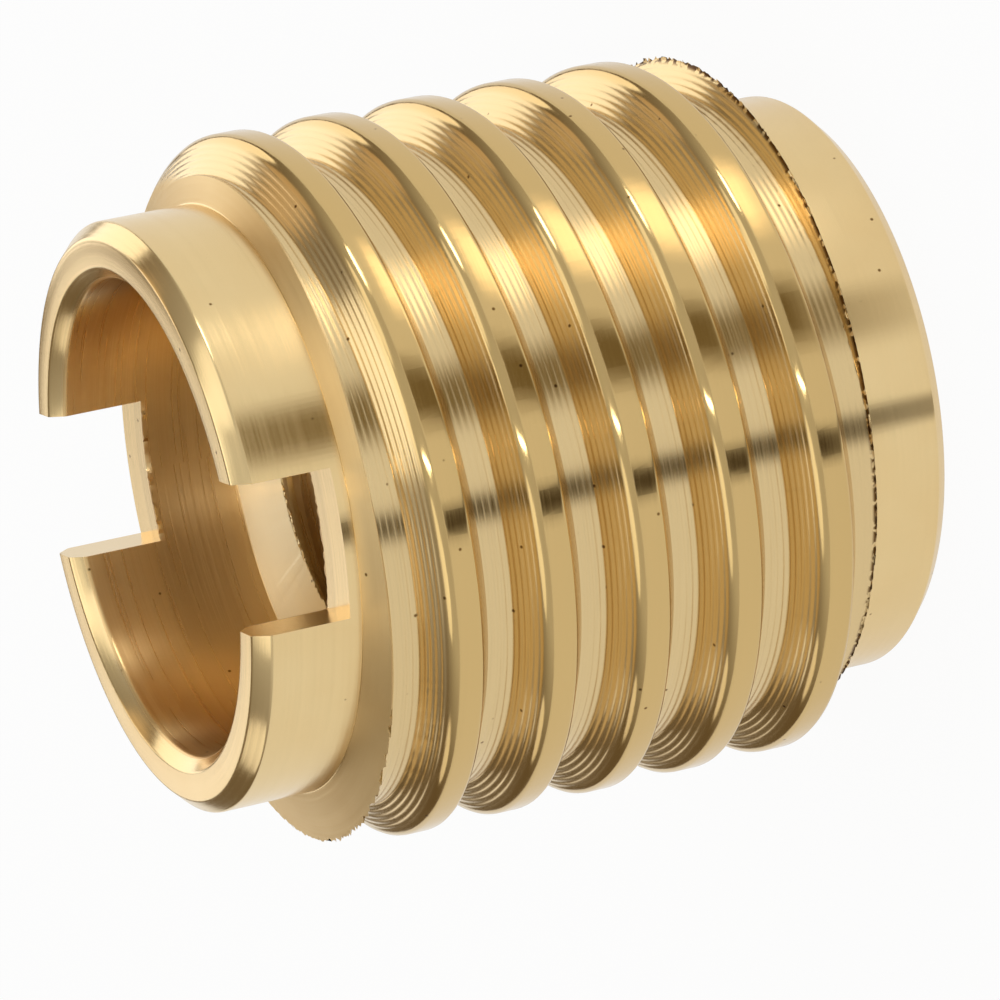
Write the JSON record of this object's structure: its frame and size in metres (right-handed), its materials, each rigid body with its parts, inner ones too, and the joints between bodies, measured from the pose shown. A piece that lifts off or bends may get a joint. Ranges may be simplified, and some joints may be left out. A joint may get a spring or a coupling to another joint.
{
  "type": "threaded insert",
  "caption": "Slotted brass screw-in insert: a coarse external thread between plain collars, with a stepped through bore for a machine screw.",
  "frame": {"origin": "centre of the rear face, on the axis, where the insert stands", "axes": "+Z along the axis from the rear face to the slotted end, +X along the screwdriver slot"},
  "size_m": [0.012, 0.012, 0.0124],
  "materials": {
    "brass": "turned bright"
  },
  "bodies": {
    "root": {"insert_body": "brass"}
  },
  "joints": []
}
